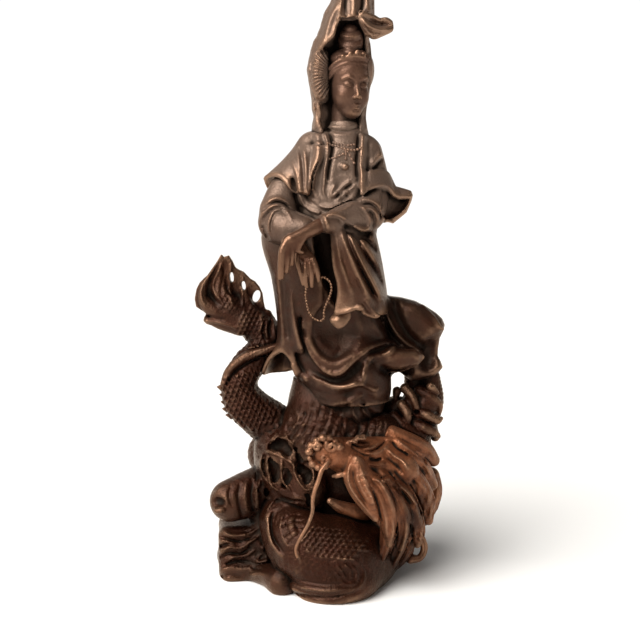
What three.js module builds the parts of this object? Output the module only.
// A small bronze casting: guanyin stands in windblown robes on the head of a dragon,
// whose body coils round a rock in the waves and whose tail rises at one side.
// The whole work is one casting. Millimetres, +Z up, the viewer stands at -Y.
// The origin is on the table, at the middle of the footprint.
import * as THREE from "three";

// Driving dimensions, in millimetres.
const HEIGHT = 300; // table to the top of the hood
const CLOTH = 1.5; // half the thickness of a free edge of cloth
const FIN = 1.7; // half the thickness of the tail's pierced fin
const BEAD_CORD = 1.5; // radius of the rosary, beads and cord together
const WHISKER = 1.5; // radius of the dragon's whisker at its root

// The modelling grid. The figure is a free form, so its places and radii below are
// written in shares of the height: one unit is a three-hundredth of it.
const UNIT = HEIGHT / 300;
const PITCH = 2 * UNIT; // grid pitch
const TRIANGLES = 9600; // triangles in the finished solid
const MARGIN = 6; // free grid round the figure, in units
const LOW = [-66 - MARGIN, -52 - MARGIN, -1 - MARGIN]; // corners of the grid, in units
const HIGH = [68 + MARGIN, 52 + MARGIN, HEIGHT / UNIT + MARGIN];
const FAR = 1e3;

const GOLDEN_BRONZE = new THREE.MeshStandardMaterial({
  color: 0x4a2d22,
  roughness: 0.42,
  metalness: 0.85,
});

const clamp = THREE.MathUtils.clamp;
const lerp = THREE.MathUtils.lerp;
const radians = THREE.MathUtils.degToRad;

// Smooth union and smooth intersection of two distances.
function joined(a, b, blend) {
  if (blend <= 0) return Math.min(a, b);
  const h = Math.max(blend - Math.abs(a - b), 0) / blend;
  return Math.min(a, b) - (h * h * blend) / 4;
}
const common = (a, b, blend) => -joined(-a, -b, blend);

// The clay: a grid of signed distances that shapes are added to and cut from.
class Clay {
  constructor(low, high, pitch) {
    this.low = low.map((v) => v * UNIT);
    this.pitch = pitch;
    this.size = high.map((v, i) => Math.ceil(((v - low[i]) * UNIT) / pitch) + 1);
    this.values = new Float32Array(this.size[0] * this.size[1] * this.size[2]).fill(FAR);
  }

  // Runs change(old value, x, y, z) at each grid point in a box, in millimetres.
  within(box, change) {
    const [nx, ny, nz] = this.size;
    const first = box.min.toArray().map((v, i) => Math.floor((v - this.low[i]) / this.pitch));
    const last = box.max.toArray().map((v, i) => Math.ceil((v - this.low[i]) / this.pitch));
    for (let k = Math.max(first[2], 0); k <= Math.min(last[2], nz - 1); k++)
      for (let j = Math.max(first[1], 0); j <= Math.min(last[1], ny - 1); j++)
        for (let i = Math.max(first[0], 0); i <= Math.min(last[0], nx - 1); i++) {
          const at = i + nx * (j + ny * k);
          this.values[at] = change(
            this.values[at],
            this.low[0] + i * this.pitch,
            this.low[1] + j * this.pitch,
            this.low[2] + k * this.pitch,
          );
        }
  }

  add(shape, blend = 0) {
    const reach = blend * UNIT;
    const box = shape.box.clone().expandByScalar(reach + 2 * this.pitch);
    this.within(box, (old, x, y, z) => joined(old, shape.distance(x, y, z), reach));
  }

  cut(shape, blend = 0) {
    const reach = blend * UNIT;
    const box = shape.box.clone().expandByScalar(reach + this.pitch);
    this.within(box, (old, x, y, z) => common(old, -shape.distance(x, y, z), reach));
  }
}

// An ellipsoid, turned about its centre by three angles in degrees.
function ball(centre, radii, turn = [0, 0, 0]) {
  const middle = new THREE.Vector3(...centre).multiplyScalar(UNIT);
  const half = new THREE.Vector3(...radii).multiplyScalar(UNIT);
  const back = new THREE.Quaternion().setFromEuler(new THREE.Euler(...turn.map(radians))).invert();
  const widest = Math.max(half.x, half.y, half.z);
  const p = new THREE.Vector3();
  const q = new THREE.Vector3();
  return {
    box: new THREE.Box3().setFromCenterAndSize(middle, new THREE.Vector3().setScalar(2 * widest)),
    distance(x, y, z) {
      p.set(x, y, z).sub(middle).applyQuaternion(back).divide(half);
      const reach = p.length();
      const slope = q.copy(p).divide(half).length();
      return slope > 1e-9 ? (reach * (reach - 1)) / slope : -Math.min(half.x, half.y, half.z);
    },
  };
}

// A block with rounded edges, turned about its centre.
function block(centre, halves, round, turn = [0, 0, 0]) {
  const middle = new THREE.Vector3(...centre).multiplyScalar(UNIT);
  const edge = round * UNIT;
  const half = new THREE.Vector3(...halves).multiplyScalar(UNIT).subScalar(edge);
  const back = new THREE.Quaternion().setFromEuler(new THREE.Euler(...turn.map(radians))).invert();
  const p = new THREE.Vector3();
  return {
    box: new THREE.Box3().setFromCenterAndSize(
      middle,
      new THREE.Vector3().setScalar(2 * (half.length() + edge)),
    ),
    distance(x, y, z) {
      p.set(x, y, z).sub(middle).applyQuaternion(back);
      p.set(Math.abs(p.x), Math.abs(p.y), Math.abs(p.z)).sub(half);
      const inside = Math.min(Math.max(p.x, p.y, p.z), 0);
      return p.clampScalar(0, Infinity).length() + inside - edge;
    },
  };
}

// A smooth line through the points, cut into short steps.
function smoothLine(points, step) {
  const line = new THREE.CatmullRomCurve3(
    points.map((p) => new THREE.Vector3(...p).multiplyScalar(UNIT)),
    false,
    "centripetal",
  );
  const count = Math.max(2, Math.ceil(line.getLength() / step));
  return Array.from({ length: count + 1 }, (_, i) => line.getPoint(i / count));
}

// The value at share t of the way along a list, with straight runs between its entries.
function along(list, t) {
  const place = clamp(t, 0, 1) * (list.length - 1);
  const i = Math.min(Math.floor(place), list.length - 2);
  return lerp(list[i], list[i + 1], place - i);
}

// A round limb that follows a smooth line, with a radius in millimetres at each point of a list.
function limbOf(points, radii) {
  const line = smoothLine(points, 1.5 * PITCH);
  const sizes = line.map((_, i) => (radii.length > 1 ? along(radii, i / (line.length - 1)) : radii[0]));
  const box = new THREE.Box3().setFromPoints(line).expandByScalar(Math.max(...radii));
  return {
    box,
    distance(x, y, z) {
      let best = FAR;
      for (let i = 0; i + 1 < line.length; i++) {
        const a = line[i];
        const b = line[i + 1];
        const dx = b.x - a.x;
        const dy = b.y - a.y;
        const dz = b.z - a.z;
        const span = dx * dx + dy * dy + dz * dz;
        const t = clamp(((x - a.x) * dx + (y - a.y) * dy + (z - a.z) * dz) / span, 0, 1);
        const away = Math.hypot(x - a.x - t * dx, y - a.y - t * dy, z - a.z - t * dz);
        best = Math.min(best, away - lerp(sizes[i], sizes[i + 1], t));
      }
      return best;
    },
  };
}
const limb = (points, radii) => limbOf(points, radii.map((r) => r * UNIT));

// A sheet of cloth through rows of points, as thick as its half thickness says.
function sheet(rows, halfThickness = CLOTH) {
  const step = 0.5 * PITCH;
  const ribs = rows.map((row) => {
    const line = new THREE.CatmullRomCurve3(row.map((p) => new THREE.Vector3(...p).multiplyScalar(UNIT)));
    return (t) => line.getPoint(t);
  });
  const across = Math.ceil(
    Math.max(...rows.map((row) => smoothLine(row, step).length)),
  );
  const samples = [];
  for (let i = 0; i <= across; i++) {
    const run = new THREE.CatmullRomCurve3(ribs.map((rib) => rib(i / across)));
    const count = Math.max(2, Math.ceil(run.getLength() / step));
    for (let j = 0; j <= count; j++) samples.push(run.getPoint(j / count));
  }
  return { samples, radius: halfThickness };
}

// Spreads a sheet's samples onto the clay.
function drape(clay, { samples, radius }, blend = 0) {
  const reach = radius + blend * UNIT + 2 * clay.pitch;
  const near = new Clay([0, 0, 0], [0, 0, 0], 1);
  Object.assign(near, { low: clay.low, pitch: clay.pitch, size: clay.size });
  near.values = new Float32Array(clay.values.length).fill(FAR);
  const box = new THREE.Box3();
  for (const s of samples) {
    box.makeEmpty().expandByPoint(s).expandByScalar(reach);
    near.within(box, (old, x, y, z) => Math.min(old, Math.hypot(x - s.x, y - s.y, z - s.z) - radius));
  }
  clay.values.forEach((old, i) => {
    if (near.values[i] < FAR) clay.values[i] = joined(old, near.values[i], blend * UNIT);
  });
}

// An upright body of oval sections. Each level is [z, centre x, centre y, half width, half depth].
// folds(angle, z) is a share by which the section swells.
function trunk(levels, folds = () => 0) {
  const rising = [...levels].sort((a, b) => a[0] - b[0]).map((l) => l.map((v) => v * UNIT));
  const bottom = rising[0];
  const top = rising[rising.length - 1];
  const widest = Math.max(...rising.map((l) => Math.max(l[3], l[4]))) * 1.2;
  const box = new THREE.Box3();
  rising.forEach(([z, x, y]) => box.expandByPoint(new THREE.Vector3(x, y, z)));
  box.min.x -= widest;
  box.min.y -= widest;
  box.max.x += widest;
  box.max.y += widest;
  return {
    box,
    distance(x, y, z) {
      let i = 0;
      while (i < rising.length - 2 && z > rising[i + 1][0]) i++;
      const t = clamp((z - rising[i][0]) / (rising[i + 1][0] - rising[i][0]), 0, 1);
      const s = t * t * (3 - 2 * t) * 0.5 + t * 0.5;
      const [, cx, cy, rx, ry] = rising[i].map((v, n) => lerp(v, rising[i + 1][n], s));
      const u = (x - cx) / rx;
      const v = (y - cy) / ry;
      const side = (Math.hypot(u, v) - 1 - folds(Math.atan2(v, u), z / UNIT)) * Math.min(rx, ry);
      return Math.max(side, z - top[0], bottom[0] - z);
    },
  };
}

// A flat plate in the X-Z plane with the given outline, which bows along the line y = at(x).
function plate(outline, halfThickness, at) {
  const corners = outline.map(([x, z]) => [x * UNIT, z * UNIT]);
  const box = new THREE.Box3();
  corners.forEach(([x, z]) => box.expandByPoint(new THREE.Vector3(x, at(x / UNIT) * UNIT, z)));
  box.expandByScalar(halfThickness);
  return {
    box,
    distance(x, y, z) {
      let nearest = Infinity;
      let inside = false;
      for (let i = 0, j = corners.length - 1; i < corners.length; j = i++) {
        const [ax, az] = corners[i];
        const [bx, bz] = corners[j];
        const [ex, ez] = [bx - ax, bz - az];
        const t = clamp(((x - ax) * ex + (z - az) * ez) / (ex * ex + ez * ez), 0, 1);
        nearest = Math.min(nearest, Math.hypot(x - ax - t * ex, z - az - t * ez));
        if (az > z !== bz > z && x < ax + ((z - az) / ez) * ex) inside = !inside;
      }
      const edge = inside ? -nearest : nearest;
      const face = Math.abs(y - at(x / UNIT) * UNIT) - halfThickness;
      return Math.min(Math.max(edge, face), 0) + Math.hypot(Math.max(edge, 0), Math.max(face, 0));
    },
  };
}

// Lays a line drawn from the front, as [x, z] points, on the surface of the clay.
// A point may state its own y. A point beside the clay takes the y of the one before it.
function onFront(clay, line, lift = 0) {
  const [nx, ny, nz] = clay.size;
  const laid = [];
  for (const [x, z, y] of line) {
    const i = clamp(Math.round((x * UNIT - clay.low[0]) / clay.pitch), 0, nx - 1);
    const k = clamp(Math.round((z * UNIT - clay.low[2]) / clay.pitch), 0, nz - 1);
    let j = 0;
    while (j < ny && clay.values[i + nx * (j + ny * k)] >= 0) j++;
    const surface = (clay.low[1] + (j - 0.5) * clay.pitch) / UNIT - lift;
    const before = laid.length ? laid[laid.length - 1][1] : 0;
    laid.push([x, y ?? (j < ny ? surface : before), z]);
  }
  return laid;
}

// Raises a rounded ridge along a line drawn on the front, or sinks a groove along it.
function ridge(clay, line, radii, blend = 2, lift = 0) {
  clay.add(limb(onFront(clay, line, lift), radii), blend);
}
function groove(clay, line, radii, blend = 2, lift = 0.8) {
  clay.cut(limb(onFront(clay, line, lift), radii), blend);
}

// A curled crest: a spiral that winds in on itself, facing the viewer.
function curl(clay, centre, radius, thickness, turns = 1.25, start = 0) {
  const points = [];
  const steps = Math.round(turns * 8);
  for (let i = 0; i <= steps; i++) {
    const angle = radians(start) + (i / steps) * turns * 2 * Math.PI;
    const r = radius * (1 - (0.75 * i) / steps);
    points.push([
      centre[0] + r * Math.cos(angle),
      centre[1] - (2 * i) / steps,
      centre[2] + r * Math.sin(angle),
    ]);
  }
  clay.add(limb(points, [thickness, thickness * 0.7]), 0.5);
}

// Rocks and waves under the dragon.
function rocks(clay) {
  clay.add(ball([2, 10, 12], [42, 36, 22]), 2);
  clay.add(ball([4, 10, 46], [33, 26, 40]), 6);
  clay.add(ball([-20, 24, 20], [24, 22, 26]), 5);
  clay.add(ball([28, 24, 22], [24, 22, 26]), 5);
  clay.add(ball([-25, 2, 62], [10, 14, 20]), 5);
  clay.add(block([-39.5, 0, 13], [14, 17, 15], 3.5, [0, 0, 4]), 1.5);
  clay.add(limb([[-28, 2, 44], [-38, -8, 43], [-46, -13, 41.5]], [13, 12, 10.8]), 1.5);
  clay.cut(ball([-54, -24, 38], [4.5, 5, 3.5]), 1);
  clay.add(ball([-30, -4, 26], [7, 12, 27]), 2);
  clay.add(limb([[-46, -15, 3], [-36, -15, 4], [-26, -22, 5], [-19, -30, 5]], [4.5, 4.5, 6, 8]), 2);
  // Wave crests and rock hollows on the left of the dragon's head.
  curl(clay, [-22, -18, 71], 6.5, 1.8, 1.1, 60);
  curl(clay, [-20, -21, 58], 6.5, 2, 1.2, 200);
  curl(clay, [-7, -25, 60], 6, 1.8, 1.1, 120);
  clay.cut(ball([-22, -23, 71], [3.6, 7, 4]), 1);
  clay.cut(ball([-20, -27, 58.5], [3.8, 7, 3.4]), 1);
  clay.cut(ball([-7, -31, 60.5], [3.4, 8, 3.8]), 1);
}

// The dragon's body: a coil in front on the ground, one behind, and the rise to the tail.
function coils(clay) {
  clay.add(
    limb(
      [[-24, -4, 50], [-20, -16, 38], [-8, -25, 22], [7, -26, 16], [20, -18, 13], [31, -2, 14], [36, 16, 18]],
      [11, 14, 19, 22, 19, 14, 12],
    ),
    2,
  );
  clay.add(
    limb([[36, 16, 18], [28, 32, 27], [6, 38, 36], [-16, 32, 46], [-26, 18, 58]], [12, 13, 13, 13, 13]),
    3,
  );
  clay.add(ball([7, -28, 7], [24, 22, 14]), 3);
  clay.add(limb([[-26, 18, 58], [-20, 8, 66], [-20, 4, 74], [-30, 4, 81]], [13, 13, 12, 11]), 3);
}

function tail(clay) {
  clay.add(
    limb(
      [
        [-18, 4, 73], [-30, 4, 81], [-40, 2, 91], [-42, 2, 99], [-38.5, 3, 108],
        [-30.5, 6, 116], [-28.5, 9, 123], [-33.5, 10, 129], [-42, 9, 136], [-49, 8, 142],
      ],
      [12, 11.5, 10.6, 9.4, 8.6, 8.6, 9.6, 9, 7.5, 5],
    ),
    2,
  );
  // The crest along the outside of the bend.
  const outer = smoothLine([[-41, 0, 81], [-48, 0, 86], [-51.5, 0, 93], [-50, 0, 102], [-46, 1, 111]], 4 * UNIT);
  outer.forEach((p) => clay.add(ball(p.toArray().map((v) => v / UNIT), [2.6, 1.6, 2.4], [0, 45, 0]), 1.2));
  // The pierced fan of flames at the end.
  const fan = [
    [-51, 166.5], [-47.5, 166.5], [-45, 162], [-42.5, 158.5], [-38, 155], [-34, 152], [-30.5, 146], [-29.5, 138],
    [-25, 134.5], [-23.5, 131], [-33, 127], [-43, 127], [-50, 128.5], [-59.5, 131], [-61, 133], [-60, 136],
    [-64.5, 139], [-65, 144], [-63, 151], [-58, 156], [-55.5, 162],
  ];
  clay.add(plate(fan, FIN, (x) => lerp(12, 6.5, clamp((-25 - x) / 40, 0, 1))), 1.5);
  clay.add(limb([[-42, 6, 138], [-53, 4, 143], [-60, 4, 147]], [6, 5.5, 3]), 2);
  clay.add(limb([[-46, 6, 140], [-55, 4, 150], [-53, 6, 162]], [5, 4, 2]), 1.5);
  const holes = [[-49, 154.9], [-42.8, 150.2], [-36.6, 144.6]];
  holes.forEach(([x, z]) => clay.cut(ball([x, 8, z], [2, 9, 3.8], [0, x > -40 ? 20 : 0, 0]), 0.4));
}

// The dragon's head rests at the front, to the right, with the jaw open towards the left.
function dragonHead(clay) {
  clay.add(ball([32, -12, 60], [22, 20, 18], [0, -20, 0]), 4);
  clay.add(limb([[36, -16, 62], [22, -26, 66], [8, -34, 72]], [15, 12, 8]), 3);
  // The jowl, a long lobe that hangs down beside the mouth.
  const lip = [
    [[14, -37, 71], [20, -38, 72], [28, -35, 70]],
    [[14.5, -40, 60], [21, -42, 60], [30, -38, 58]],
    [[19, -41, 50], [25, -43, 49], [33, -38, 48]],
    [[26, -40, 41], [28.5, -41, 40.5], [32, -38, 43]],
  ];
  drape(clay, sheet(lip, 2.6), 2);
  // The open mouth.
  clay.cut(limb([[-2, -44, 60], [8, -38, 54], [20, -32, 44], [24, -28, 32]], [5, 7.5, 8, 6]), 2);
  clay.add(limb([[24, -22, 38], [12, -29, 43], [4, -34, 47]], [7, 5.5, 3]), 1.5);
  clay.add(limb([[11, -40, 67], [11, -42, 63], [10.5, -42, 60]], [1.8, 1.5, 0.9]), 0.5);
  // Nose: a scroll with a row of small curls.
  curl(clay, [5, -40, 77], 5.2, 2.4, 1.3, 100);
  for (let i = 0; i < 6; i++) {
    const drop = 3.2 * i;
    clay.add(ball([-3 - 3 * Math.sin(i * 0.7), -39, 84 - drop], [3.2, 3.2, 2.4]), 0.8);
  }
  const whisker = [
    [1, -42, 69], [-1, -44, 63], [-4, -45, 57], [-4, -47, 50], [-6, -49, 41], [-10, -47.5, 34], [-12, -46, 28], [-11.5, -47, 24],
  ];
  clay.add(limbOf(whisker, [WHISKER, WHISKER, WHISKER, WHISKER * 0.9, WHISKER * 0.8]), 0.6);
  // Brows, eye and cheek.
  clay.add(ball([43, -24, 62], [9, 8, 8.5]), 1.5);
  clay.add(limb([[8, -36, 79], [20, -34, 78], [32, -28, 79], [40, -20, 84]], [2.2, 2.4, 2.6, 2]), 1.5);
  clay.add(limb([[30, -33, 71], [38, -31, 72], [46, -27, 67], [50, -23, 58]], [2.2, 2.4, 2.4, 1.8]), 1.5);
  clay.cut(ball([28, -38, 70], [3.2, 3, 1.2], [0, -8, 0]), 0.6);
}

// Locks of the mane, which sweep back and down from the cheek.
function mane(clay) {
  clay.add(ball([36, -2, 22], [16, 18, 20]), 3);
  clay.add(ball([46, 4, 44], [12, 16, 26]), 3);
  const locks = [
    [[[30, -37, 64], [38, -37, 57], [45, -33, 48]], [3.4, 2.8, 1.2]],
    [[[29, -34, 50], [33, -38, 40], [34.5, -39, 28]], [6, 5.5, 1.8]],
    [[[34, -32, 54], [42, -33, 42], [47, -27, 28], [45, -23, 20]], [6, 5.5, 4.5, 1.6]],
    [[[42, -24, 50], [49, -21, 38], [52, -15, 26], [53, -9, 19]], [6, 6, 4.5, 2.2]],
    [[[46, -18, 64], [54, -11, 58], [58, -5, 46], [57, -2, 34]], [7, 6.5, 5, 2.4]],
    [[[42, -20, 76], [50, -13, 74], [58, -4, 68], [61, 1, 58]], [4.5, 5.5, 4, 2]],
    [[[52, -2, 60], [58, 2, 52], [58.5, 3, 42], [55, 4, 28]], [6, 5, 4.5, 2.5]],
    [[[50, -10, 28], [54, -7, 20], [53.5, -6, 11], [48, -9, 7]], [4, 2.4, 2.2, 2]],
    [[[40, -10, 16], [44, -10, 10], [50, -7, 8]], [6, 3.4, 2.2]],
    [[[30, -28, 24], [37, -24, 16], [41, -16, 10]], [5, 5, 4]],
  ];
  locks.forEach(([points, radii]) => clay.add(limb(points, radii), 1.2));
}

// A raised forefoot at the right, under the windblown robe.
function forefoot(clay) {
  clay.add(limb([[50, 8, 60], [51, 7, 76], [49.5, 7, 92], [49, 6, 106]], [9, 7, 5.5, 4.5]), 2);
  clay.add(limb([[56, 4, 76], [60, 4, 90], [58, 4, 103]], [5, 4.6, 4.5]), 1);
  clay.add(ball([55, -1, 89], [7, 6, 7]), 1);
  clay.add(ball([55, -3, 77], [6.5, 6, 5.5]), 1);
  clay.add(ball([43, -2, 79], [6.5, 7, 7]), 1.5);
  clay.add(ball([40, 3, 84], [9, 8, 9]), 1.5);
  clay.add(ball([60, 0, 91], [2.4, 3, 4], [0, 20, 0]), 0.8);
  clay.add(ball([58.5, 0, 83], [4, 4, 2.2]), 0.8);
  clay.add(ball([59, 0, 75], [3.6, 4, 4]), 0.8);
}

// Folds of the skirt run up and down and die out towards the waist.
function skirtFolds(angle, z) {
  const low = clamp((190 - z) / 90, 0, 1);
  const back = clamp(0.5 + Math.sin(angle), 0.25, 1);
  return low * back * (0.035 * Math.sin(9 * angle + 0.05 * z) + 0.025 * Math.sin(15 * angle - 0.03 * z));
}

function robe(clay) {
  // The under-robe between the hem and the dragon's head.
  clay.add(
    trunk([[74, 6, -2, 26, 21], [82, 10, -4, 24, 20], [90, 13, -5, 22, 18], [98, 14, -4, 21, 17], [110, 14, -3, 20, 17]]),
    2,
  );
  // The robe from the waist to the hem.
  clay.add(
    trunk(
      [
        [196, 8, 0, 21, 15],
        [188, 6, 0, 22, 17],
        [178, 4, -1, 24, 18],
        [170, 2.4, -1, 26.5, 19.5],
        [160, 4.2, -1, 26.5, 21],
        [150, 5.6, -1, 26.8, 22],
        [140, 6.6, -1, 27, 23],
        [128, 8, -1, 27.2, 24],
        [117, 9.5, -2, 26.5, 24.5],
        [107, 11.5, -3, 25, 24],
        [99, 14, -4, 22.5, 22],
        [93, 15.5, -5, 20, 19.5],
      ],
      skirtFolds,
    ),
    1.5,
  );
  // The edge of the robe above the dragon's brow, and the fold over the foot.
  ridge(clay, [[14, 91], [16, 84], [21, 80], [28, 79], [35, 83], [38, 90]], [2.2, 2, 2.2], 1.5);
  groove(clay, [[19, 90], [22, 86], [27, 84], [32, 87]], [1.6], 2);

  // The hollow of the cowl and the rolled hems below it.
  clay.cut(ball([9, -31, 128], [13, 8, 12]), 3);
  ridge(
    clay,
    [[-8, 150], [-8.5, 140], [-7, 128], [-4, 120], [1, 114], [6, 112.5], [12, 113], [18, 118], [25, 123], [33, 127], [37, 126]],
    [1.9],
    1.2,
    0.8,
  );
  groove(clay, [[-5, 112], [1, 108], [8, 107.5], [14, 109], [19, 114], [26, 119]], [2.2], 2);
  ridge(clay, [[37, 125], [33, 121.5], [27, 120], [23, 116], [21, 109], [14, 105.5], [6, 105.5], [-1, 107.5]], [1.8], 1.2, 0.8);
  ridge(clay, [[-14, 116], [-11, 107], [-7, 99], [-2, 94.5], [4, 92.5], [12, 93], [17, 96], [20, 103]], [2], 1.2, 0.6);
  // The small flare of the hem at the left, open below.
  drape(
    clay,
    sheet([
      [[-19, 4, 128], [-20, -8, 128], [-17, -18, 128], [-11, -22, 128]],
      [[-22, 2, 117], [-24, -9, 117], [-19, -19, 119.5], [-12, -22.5, 117]],
      [[-25, 0, 108], [-28, -10, 107], [-20, -20, 116.5], [-12, -22, 108]],
    ]),
    1,
  );
  clay.cut(ball([-21, -10, 108], [6, 12, 6]), 1);

  // Robe blown out to the right, a bag of cloth that is open below.
  clay.add(ball([42, 6, 125], [22, 14, 18.5], [0, 14, 0]), 4);
  clay.add(limb([[33, -10, 128], [44, -9, 119], [52, -8, 116]], [8, 7, 3]), 3);
  clay.cut(ball([58, -4, 108], [7.5, 9, 10], [0, 20, 0]), 2);
  ridge(
    clay,
    [[36, 145, 4], [46, 143, 3], [55, 140, 2], [62, 134, 1], [63.5, 127, 1], [60, 120, 0]],
    [CLOTH / UNIT],
    1.5,
  );
}

function torso(clay) {
  clay.add(
    trunk([
      [235, 10, 1, 10, 8],
      [231, 9.5, 1, 13, 9.5],
      [226, 9.5, 1, 17, 12],
      [217, 9.5, 0, 20, 14],
      [205, 9.5, -1, 20, 15.5],
      [195, 9, -1, 20, 16.5],
      [186, 8, -1, 22, 17.5],
    ]),
    3,
  );
}

function arms(clay) {
  clay.add(
    limb([[-3, 1, 220], [-9, 0, 208], [-16, -4, 194], [-20.5, -11, 184], [-15, -17, 180.5], [-8, -21, 181]], [9.5, 9.5, 10, 10.5, 9, 6]),
    2.5,
  );
  clay.add(
    limb([[22, 2, 218], [25, 1, 206], [26, -5, 195], [23, -13, 188], [15, -19, 186], [8, -23, 185]], [9.5, 9.5, 9, 9, 8, 6]),
    2.5,
  );
}

function shawl(clay) {
  // Edges of the veil that fall from the neck, and the neckline between them.
  clay.cut(ball([12, -20, 212], [7.5, 6, 18]), 2.5);
  ridge(clay, [[-3, 231], [2, 227], [3.5, 220], [3, 212], [1, 203], [3, 194], [8, 189]], [1.8], 1.5);
  ridge(clay, [[-6, 226], [-7, 216], [-7, 205], [-5, 196], [2, 189]], [2], 2);
  ridge(clay, [[22, 233], [23, 226], [21, 217], [19.5, 209], [20, 200], [16, 192]], [1.8], 1.5);
  ridge(clay, [[-12, 218], [-12, 206], [-8, 195], [0, 187]], [2.2], 2);
  groove(clay, [[-9.5, 219], [-9.5, 207], [-6.5, 196]], [1.4], 2);
  // Flare of the shawl over the left arm.
  drape(
    clay,
    sheet([
      [[-9, 11, 221], [-10.5, 1, 221], [-5, -11, 219]],
      [[-16, 11, 210], [-17.5, -3, 211.5], [-11, -14, 209]],
      [[-21, 10, 200], [-26, -7, 204.5], [-20, -14, 206], [-13, -17, 198]],
    ]),
    1.5,
  );
  // Flare over the right arm, a cup that is open to the front.
  const cup = ball([36, 3, 193], [10.5, 12, 10]);
  clay.add(cup, 2);
  clay.cut(ball([35, -5, 190.5], [8, 15, 7.6]), 1);
  clay.add(limb([[26, -1, 203], [26, -5, 194], [22, -13, 188]], [8.5, 9, 9]), 1);
  drape(
    clay,
    sheet([
      [[22, -13, 205], [31, -9, 206], [34, 0, 207]],
      [[23, -15, 200], [31, -10, 202], [40, -3, 202.5], [44, 4, 200]],
    ]),
    1,
  );
}

function sleeves(clay) {
  ridge(clay, [[-29, 189], [-24, 192.5], [-16, 191], [-10, 184]], [1.6]);
  ridge(clay, [[-31, 183], [-25, 174], [-17, 174]], [1.6]);
  ridge(clay, [[18, 196], [26, 196], [31, 190], [31, 182]], [1.6]);
  // The sleeve that hangs from the nearer wrist, with a deep hollow beside it.
  drape(
    clay,
    sheet([
      [[5, -26, 182], [12, -28, 182], [20, -25, 181], [27, -15, 178]],
      [[7, -28, 165], [15, -31, 165], [25, -27, 165], [32, -13, 164]],
      [[9.5, -29, 152], [18, -32, 152], [28, -27, 152], [34, -11, 150]],
      [[12, -29, 142], [20, -32, 141], [29, -28, 138], [36, -12, 137]],
    ]),
    2,
  );
  clay.add(ball([22, -15, 160], [12, 11, 24], [0, -12, 0]), 3);
  clay.cut(limb([[2, -26, 174], [5, -25, 160], [9, -25, 147]], [4.6, 4.6, 3]), 1.2);
  // The other sleeve, down the left side of the skirt.
  drape(
    clay,
    sheet([
      [[-27, -4, 176], [-24, -15, 174], [-14, -21, 172]],
      [[-23, -3, 152], [-18, -17, 150], [-10, -22, 150]],
      [[-20.5, -2, 128], [-16, -20, 126], [-9, -25, 130]],
    ]),
    1.5,
  );
}

function hands(clay) {
  clay.add(limb([[8, -25, 185], [0, -29, 183], [-7, -32, 181], [-13, -34, 177]], [4.5, 4, 4.2, 3.4]), 1.5);
  const fingers = [
    [[-13, -35, 178], [-17.5, -36.5, 173], [-18.5, -37, 166], [-19, -36.5, 159]],
    [[-11, -34, 177], [-14, -36, 170], [-15, -36, 163], [-15, -35, 158]],
    [[-8, -33, 177], [-10, -35, 170], [-11, -35, 164]],
  ];
  fingers.forEach((line) => clay.add(limb(line, [2.2, 1.9, 1.6]), 0.8));
  clay.add(limb([[-14, -20, 180], [-11, -26, 173], [-8, -28, 168]], [4.5, 4.2, 4]), 1.5);
  for (let i = 0; i < 4; i++) {
    const over = 2.4 * i;
    const line = [[-9.5 + over, -29, 167], [-8.5 + over, -30.5, 161], [-6.5 + over, -30, 155.5]];
    clay.add(limb(line, [1.9, 1.7, 1.4]), 0.6);
  }
}

// The rosary hangs in a loop from the lower hand, in front of the small fold of a sash.
function rosary(clay) {
  const loop = [
    [0, -30, 158], [4, -30, 155], [5.5, -30, 150], [3, -30, 145], [2, -31, 140], [-1, -31, 137], [-5, -30, 138], [-8, -29, 143], [-8, -29, 150],
  ];
  clay.add(limbOf(loop, [BEAD_CORD]), 0.4);
  clay.add(limb([[-4, -28, 136], [4, -29, 133], [12, -29, 137], [18, -30, 141]], [2.6, 3, 3, 2]), 1.5);
}

// The face is a plain calm one. Its places are set in the head's own frame:
// across, out of the face, and up, from the middle of the head.
const HEAD = [13.5, -2, 250.5];
const HEAD_TURN = 24; // degrees to the viewer's right
function onHead([across, out, up]) {
  const turn = radians(HEAD_TURN);
  return [
    HEAD[0] + across * Math.cos(turn) + out * Math.sin(turn),
    HEAD[1] + across * Math.sin(turn) - out * Math.cos(turn),
    HEAD[2] + up,
  ];
}

function head(clay) {
  const turn = [0, 0, HEAD_TURN];
  clay.add(limb([[11, 2, 226], [12.5, 0, 242]], [7.5, 6.6]), 1.5);
  clay.add(ball(HEAD, [9.6, 11, 14], turn), 2);
  clay.add(ball(onHead([0, 5.4, -9.5]), [5, 5, 5], turn), 3);
  clay.add(limb([onHead([0, 10.4, 3]), onHead([0, 12.2, -2.6])], [1.1, 1.7]), 1.2);
  clay.add(ball(onHead([0, 10.4, -6.6]), [2.6, 1.6, 1.5], turn), 1);
  [-1, 1].forEach((side) => clay.cut(ball(onHead([side * 4, 13, 1]), [2.8, 2.4, 2]), 2));
  // Hair swept up from the temples into a high knot, and a small crown.
  clay.add(ball([11, 3, 256], [12, 11, 14]), 1.5);
  clay.add(ball([2.5, -3, 255], [5, 7, 13], [0, 0, -10]), 2);
  clay.add(ball([22.5, -1, 256], [3, 6, 9]), 2);
  clay.add(ball([14, -1, 274], [8.5, 9, 9.5]), 2);
  clay.add(limb([onHead([-7, 7, 15]), onHead([0, 10.5, 16]), onHead([7, 7, 15])], [2.2, 3, 2.2]), 1.5);
}

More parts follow.
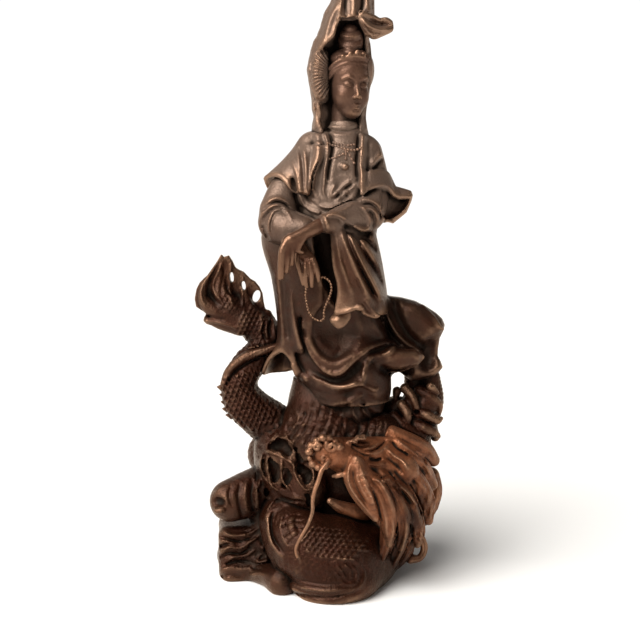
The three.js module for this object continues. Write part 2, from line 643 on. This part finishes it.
function hood(clay) {
  const hoodClay = new Clay(LOW, HIGH, PITCH);
  const levels = [
    [300, 16.5, 3, 3, 3],
    [298, 16.5, 3, 8, 8],
    [294, 16.5, 2.5, 10.5, 11],
    [286, 14, 2, 12.5, 13.5],
    [277, 11.8, 2, 12.8, 14.5],
    [269, 10, 2, 14.5, 15],
    [261, 9.7, 2, 16, 15],
    [250, 10, 2, 15.3, 14],
    [242, 9.5, 2, 13.7, 12.5],
    [235, 9.7, 1.5, 13, 11],
    [228, 10.5, 1, 14, 11],
  ];
  hoodClay.add(trunk(levels));
  // The face opening, wide at the brow and narrow at the neck, turned with the head.
  hoodClay.cut(ball([16, -15, 257], [15.5, 15, 25], [-8, 0, 16]), 1);
  hoodClay.cut(ball([13, -14, 238], [10, 12, 14]), 1);
  clay.values.forEach((old, i) => {
    clay.values[i] = joined(old, hoodClay.values[i], 0.5 * UNIT);
  });
  // The brow of the hood comes forward in pleats and turns over at the right.
  drape(
    clay,
    sheet([
      [[6, 1, 293], [11, -6, 294], [18, -7, 295], [24, -4, 293]],
      [[5, -5, 286], [10, -11, 287], [18, -13, 287], [24, -8, 287]],
      [[6, -10, 279], [11, -14, 281], [18, -15, 281], [24, -11, 281]],
    ]),
    1.5,
  );
  drape(
    clay,
    sheet([
      [[21, -12, 285], [25, -10, 285], [30, -8, 281.5], [33, -7, 281.5], [34, -6, 280]],
      [[21, -12, 280], [25, -12, 278], [29, -11, 278], [32, -9, 278.5], [34, -7, 279]],
      [[21, -9, 275], [25, -8, 275], [29, -8, 276], [32, -7, 277], [34, -6, 279]],
    ]),
    1,
  );
}

// Turns the clay into a closed skin of triangles. Each cell is split into six tetrahedra
// round its main diagonal, which always gives a closed surface.
function skin(clay) {
  const [nx, ny] = clay.size;
  const steps = [1, nx, nx * ny];
  const orders = [[0, 1, 2], [1, 2, 0], [2, 0, 1], [1, 0, 2], [0, 2, 1], [2, 1, 0]];
  const tetrahedra = orders.map(([a, b], n) => ({
    corners: [0, steps[a], steps[a] + steps[b], steps[0] + steps[1] + steps[2]],
    turned: n > 2,
  }));
  const points = [];
  const triangles = [];
  const known = new Map();
  const total = clay.values.length;
  const value = clay.values;

  function place(at) {
    return [at % nx, Math.floor(at / nx) % ny, Math.floor(at / (nx * ny))].map(
      (n, i) => clay.low[i] + n * clay.pitch,
    );
  }
  function crossing(a, b) {
    const key = a < b ? a * total + b : b * total + a;
    if (!known.has(key)) {
      const t = clamp(value[a] / (value[a] - value[b]), 0.08, 0.92);
      const [p, q] = [place(a), place(b)];
      known.set(key, points.length / 3);
      points.push(...p.map((v, i) => lerp(v, q[i], t)));
    }
    return known.get(key);
  }
  function face(turned, a, b, c) {
    triangles.push(a, ...(turned ? [c, b] : [b, c]));
  }
  // Even orders of a tetrahedron's corners, with the inside ones first.
  const singles = [[0, 1, 2, 3], [1, 0, 3, 2], [2, 3, 0, 1], [3, 2, 1, 0]];
  const pairs = { 3: [0, 1, 2, 3], 5: [0, 2, 3, 1], 9: [0, 3, 1, 2], 6: [1, 2, 0, 3], 10: [1, 3, 2, 0], 12: [2, 3, 0, 1] };

  for (let at = 0; at < total - steps[2] - steps[1] - 1; at++) {
    const sign = value[at] < 0;
    const far = [1, nx, nx + 1, steps[2], steps[2] + 1, steps[2] + nx, steps[2] + nx + 1];
    if (far.every((step) => value[at + step] < 0 === sign)) continue;
    for (const { corners, turned } of tetrahedra) {
      const c = corners.map((step) => at + step);
      const inside = c.map((n) => value[n] < 0);
      const count = inside.filter(Boolean).length;
      if (count === 0 || count === 4) continue;
      if (count === 2) {
        const mask = inside.reduce((m, v, i) => m + (v ? 1 << i : 0), 0);
        const [p, q, r, s] = pairs[mask].map((i) => c[i]);
        const quad = [crossing(p, r), crossing(p, s), crossing(q, s), crossing(q, r)];
        face(turned, quad[0], quad[1], quad[2]);
        face(turned, quad[0], quad[2], quad[3]);
      } else {
        const [p, q, r, s] = singles[inside.indexOf(count === 1)].map((i) => c[i]);
        face(turned !== (count === 3), crossing(p, q), crossing(p, r), crossing(p, s));
      }
    }
  }
  return { points, triangles };
}

// Keeps the largest connected skin, so that no bubble is left inside the metal.
function largest({ points, triangles }) {
  const parent = Array.from({ length: points.length / 3 }, (_, i) => i);
  const root = (i) => {
    while (parent[i] !== i) i = parent[i] = parent[parent[i]];
    return i;
  };
  for (let t = 0; t < triangles.length; t += 3) {
    parent[root(triangles[t])] = root(triangles[t + 1]);
    parent[root(triangles[t + 1])] = root(triangles[t + 2]);
  }
  const counts = new Map();
  for (let t = 0; t < triangles.length; t += 3) {
    const r = root(triangles[t]);
    counts.set(r, (counts.get(r) ?? 0) + 1);
  }
  const [best] = [...counts].sort((a, b) => b[1] - a[1])[0];
  const kept = [];
  for (let t = 0; t < triangles.length; t += 3)
    if (root(triangles[t]) === best) kept.push(triangles[t], triangles[t + 1], triangles[t + 2]);
  return { points, triangles: kept };
}

// Thins the skin by folding its least noticeable edges away, down to a number of triangles.
function thinned({ points, triangles }, target) {
  const p = Float64Array.from(points);
  const count = p.length / 3;
  const faces = [];
  const around = Array.from({ length: count }, () => new Set());
  for (let t = 0; t < triangles.length; t += 3) {
    faces.push([triangles[t], triangles[t + 1], triangles[t + 2]]);
    faces[faces.length - 1].forEach((v) => around[v].add(faces.length - 1));
  }
  const alive = new Uint8Array(faces.length).fill(1);
  const edition = new Int32Array(count);
  // Each point's sum of squared distances to the planes round it, as ten numbers.
  const sums = new Float64Array(count * 10);

  function normalOf(a, b, c) {
    const ux = p[3 * b] - p[3 * a];
    const uy = p[3 * b + 1] - p[3 * a + 1];
    const uz = p[3 * b + 2] - p[3 * a + 2];
    const vx = p[3 * c] - p[3 * a];
    const vy = p[3 * c + 1] - p[3 * a + 1];
    const vz = p[3 * c + 2] - p[3 * a + 2];
    return [uy * vz - uz * vy, uz * vx - ux * vz, ux * vy - uy * vx];
  }
  for (const [a, b, c] of faces) {
    const n = normalOf(a, b, c);
    const area = Math.hypot(...n) / 2;
    if (area < 1e-9) continue;
    const [x, y, z] = n.map((v) => v / (2 * area));
    const w = -(x * p[3 * a] + y * p[3 * a + 1] + z * p[3 * a + 2]);
    const terms = [x * x, x * y, x * z, x * w, y * y, y * z, y * w, z * z, z * w, w * w];
    for (const v of [a, b, c]) terms.forEach((term, i) => (sums[10 * v + i] += term * area));
  }

  function errorAt(q, x, y, z) {
    return (
      q[0] * x * x + 2 * q[1] * x * y + 2 * q[2] * x * z + 2 * q[3] * x +
      q[4] * y * y + 2 * q[5] * y * z + 2 * q[6] * y + q[7] * z * z + 2 * q[8] * z + q[9]
    );
  }
  function fold(a, b) {
    const q = Array.from({ length: 10 }, (_, i) => sums[10 * a + i] + sums[10 * b + i]);
    const det =
      q[0] * (q[4] * q[7] - q[5] * q[5]) - q[1] * (q[1] * q[7] - q[5] * q[2]) + q[2] * (q[1] * q[5] - q[4] * q[2]);
    const ends = [a, b].map((v) => [p[3 * v], p[3 * v + 1], p[3 * v + 2]]);
    const middle = ends[0].map((v, i) => (v + ends[1][i]) / 2);
    const choices = [middle, ...ends];
    if (Math.abs(det) > 1e-6) {
      const best = [
        -(q[3] * (q[4] * q[7] - q[5] * q[5]) - q[6] * (q[1] * q[7] - q[2] * q[5]) + q[8] * (q[1] * q[5] - q[2] * q[4])) / det,
        -(-q[3] * (q[1] * q[7] - q[2] * q[5]) + q[6] * (q[0] * q[7] - q[2] * q[2]) - q[8] * (q[0] * q[5] - q[1] * q[2])) / det,
        -(q[3] * (q[1] * q[5] - q[2] * q[4]) - q[6] * (q[0] * q[5] - q[1] * q[2]) + q[8] * (q[0] * q[4] - q[1] * q[1])) / det,
      ];
      const span = Math.hypot(...ends[0].map((v, i) => v - ends[1][i]));
      if (Math.hypot(...best.map((v, i) => v - middle[i])) < 2 * span) choices.unshift(best);
    }
    const length = ends[0].reduce((s, v, i) => s + (v - ends[1][i]) ** 2, 0);
    const costs = choices.map((c) => errorAt(q, ...c));
    const pick = costs.indexOf(Math.min(...costs));
    return { a, b, place: choices[pick], cost: Math.max(costs[pick], 0) + 1e-4 * length, ea: edition[a], eb: edition[b] };
  }

  // A binary heap of folds, the cheapest on top.
  const heap = [];
  function push(item) {
    let i = heap.push(item) - 1;
    while (i > 0) {
      const up = (i - 1) >> 1;
      if (heap[up].cost <= item.cost) break;
      heap[i] = heap[up];
      i = up;
    }
    heap[i] = item;
  }
  function pop() {
    const top = heap[0];
    const item = heap.pop();
    if (heap.length) {
      let i = 0;
      for (;;) {
        let down = 2 * i + 1;
        if (down >= heap.length) break;
        if (down + 1 < heap.length && heap[down + 1].cost < heap[down].cost) down++;
        if (heap[down].cost >= item.cost) break;
        heap[i] = heap[down];
        i = down;
      }
      heap[i] = item;
    }
    return top;
  }

  function neighbours(v) {
    const found = new Set();
    around[v].forEach((f) => faces[f].forEach((n) => n !== v && found.add(n)));
    return found;
  }
  // A fold is fair if the surface stays closed and no face that stays turns over or becomes a sliver.
  function fair({ a, b, place }) {
    const near = neighbours(b);
    let shared = 0;
    neighbours(a).forEach((n) => (shared += near.has(n) ? 1 : 0));
    if (shared !== 2) return false;
    for (const v of [a, b])
      for (const f of around[v]) {
        if (faces[f].includes(a) && faces[f].includes(b)) continue;
        const before = normalOf(...faces[f]);
        const kept = [p[3 * v], p[3 * v + 1], p[3 * v + 2]];
        p.set(place, 3 * v);
        const after = normalOf(...faces[f]);
        const sides = faces[f].map((n, i) => {
          const m = faces[f][(i + 1) % 3];
          return Math.hypot(p[3 * n] - p[3 * m], p[3 * n + 1] - p[3 * m + 1], p[3 * n + 2] - p[3 * m + 2]);
        });
        p.set(kept, 3 * v);
        const size = Math.hypot(...after);
        const turn = before.reduce((s, c, i) => s + c * after[i], 0);
        if (turn < 0.25 * size * Math.hypot(...before)) return false;
        if (size < 0.06 * Math.max(...sides) ** 2) return false;
      }
    return true;
  }

  const seen = new Set();
  for (const f of faces)
    f.forEach((v, i) => {
      const w = f[(i + 1) % 3];
      if (v < w) seen.add(v * count + w);
    });
  seen.forEach((key) => push(fold(Math.floor(key / count), key % count)));

  let left = faces.length;
  while (left > target && heap.length) {
    const item = pop();
    const { a, b } = item;
    if (edition[a] !== item.ea || edition[b] !== item.eb || !around[a].size || !around[b].size) continue;
    if (!fair(item)) continue;
    p.set(item.place, 3 * a);
    for (let i = 0; i < 10; i++) sums[10 * a + i] += sums[10 * b + i];
    for (const f of around[b]) {
      if (faces[f].includes(a)) {
        alive[f] = 0;
        left--;
        faces[f].forEach((v) => v !== b && around[v].delete(f));
      } else {
        faces[f][faces[f].indexOf(b)] = a;
        around[a].add(f);
      }
    }
    around[b].clear();
    const ring = neighbours(a);
    edition[a]++;
    edition[b]++;
    ring.forEach((n) => push(fold(Math.min(a, n), Math.max(a, n))));
  }
  const kept = faces.filter((_, i) => alive[i]).flat();
  return { points: p, triangles: kept };
}

function geometryOf({ points, triangles }) {
  const renumbered = new Map();
  const positions = [];
  const index = triangles.map((v) => {
    if (!renumbered.has(v)) {
      renumbered.set(v, positions.length / 3);
      positions.push(points[3 * v], points[3 * v + 1], points[3 * v + 2]);
    }
    return renumbered.get(v);
  });
  const geometry = new THREE.BufferGeometry();
  geometry.setAttribute("position", new THREE.Float32BufferAttribute(positions, 3));
  geometry.setIndex(index);
  geometry.computeVertexNormals();
  return geometry;
}

const clay = new Clay(LOW, HIGH, PITCH);
[
  rocks, coils, tail, robe, torso, arms, shawl, sleeves, hands, rosary, head, hood, dragonHead, mane, forefoot,
].forEach((form) => form(clay));
// The underside is cast flat.
clay.within(
  new THREE.Box3(
    new THREE.Vector3(...LOW).multiplyScalar(UNIT),
    new THREE.Vector3(...HIGH).multiplyScalar(UNIT),
  ),
  (old, x, y, z) => Math.max(old, -z),
);

const form = geometryOf(thinned(largest(skin(clay)), TRIANGLES));
form.computeBoundingBox();
const middle = form.boundingBox.getCenter(new THREE.Vector3());
form.translate(-middle.x, -middle.y, -form.boundingBox.min.z);

const casting = new THREE.Mesh(form, GOLDEN_BRONZE);
casting.name = "guanyin_on_dragon";

const figure = new THREE.Group();
figure.add(casting);
export default figure;
